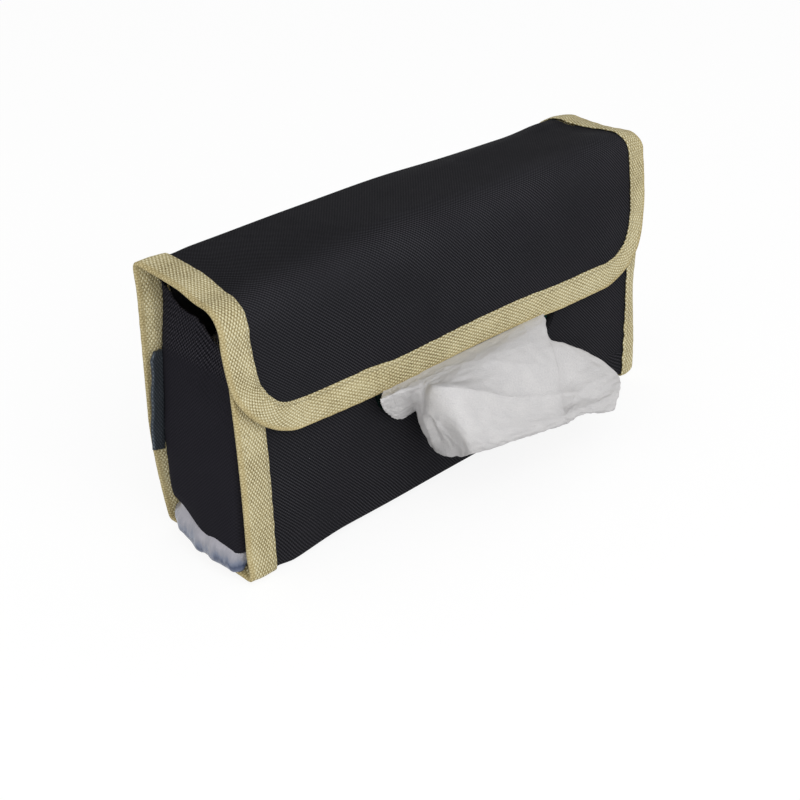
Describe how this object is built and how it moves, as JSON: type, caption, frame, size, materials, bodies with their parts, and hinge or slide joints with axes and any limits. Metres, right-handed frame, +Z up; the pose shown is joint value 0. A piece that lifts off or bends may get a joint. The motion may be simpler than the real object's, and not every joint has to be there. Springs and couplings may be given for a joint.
{
  "type": "car tissue holder",
  "caption": "Flat fabric tissue case for a car, with a bound lid and front flap, a dispensing slot, a tissue pack and rear fastening straps.",
  "frame": {"origin": "centre of the flat underside of the base", "axes": "+Z up, -Y out of the front wall with the slot, +X along the case to the right end as seen from the front"},
  "size_m": [0.2463, 0.0986, 0.1175],
  "materials": {
    "oxford": "black plain-weave polyester, matt with a soft sheen along the folds",
    "lining": "dark smooth woven lining",
    "board": "flexible stiffening sheet",
    "webbing": "khaki beige coarse woven tape, stitched along its inner edge",
    "touch_tape": "black hook-and-loop tape",
    "strap": "black flat webbing",
    "tab": "dark blue-grey woven tape, bare",
    "film": "thin wrinkled translucent film",
    "tissue": "soft white tissue paper, very fine grain"
  },
  "bodies": {
    "case": {"front_panel": "oxford", "front_board": "board", "front_lining": "lining", "base_panel": "oxford", "base_board": "board", "base_lining": "lining", "back_panel": "oxford", "back_board": "board", "back_lining": "lining", "left_gusset": "oxford", "right_gusset": "oxford", "left_binding": "webbing", "right_binding": "webbing", "front_loop_patch_left": "touch_tape", "front_loop_patch_right": "touch_tape", "side_tab": "tab", "strap_root_left": "strap", "strap_root_right": "strap", "back_loop_pad_left": "touch_tape", "back_loop_pad_right": "touch_tape", "pack_wrapper": "film", "tissue_stack": "tissue", "tissue_sheet": "tissue"},
    "lid": {"lid_panel": "oxford", "lid_board": "board", "lid_lining": "lining", "lid_binding_left": "webbing", "lid_binding_right": "webbing"},
    "flap": {"flap_panel": "oxford", "flap_lining": "lining", "flap_binding": "webbing", "flap_hook_patch_left": "touch_tape", "flap_hook_patch_right": "touch_tape"},
    "left_strap": {"strap_left": "strap", "strap_hook_pad_left": "touch_tape"},
    "right_strap": {"strap_right": "strap", "strap_hook_pad_right": "touch_tape"}
  },
  "joints": [
    {"name": "lid_hinge", "type": "hinge", "parent": "case", "child": "lid", "pos_m": [0, 0.0287, 0.1175], "axis": [-1, 0, 0], "range_deg": [0, 180]},
    {"name": "flap_hinge", "type": "hinge", "parent": "lid", "child": "flap", "pos_m": [0, -0.02161, 0.11528], "axis": [-1, 0, 0], "range_deg": [0, 90]},
    {"name": "left_strap_hinge", "type": "hinge", "parent": "case", "child": "left_strap", "pos_m": [-0.0907, 0.029, 0.0726], "axis": [0, 0, 1], "range_deg": [0, 150]},
    {"name": "right_strap_hinge", "type": "hinge", "parent": "case", "child": "right_strap", "pos_m": [0.0907, 0.029, 0.0726], "axis": [0, 0, -1], "range_deg": [0, 150]}
  ]
}
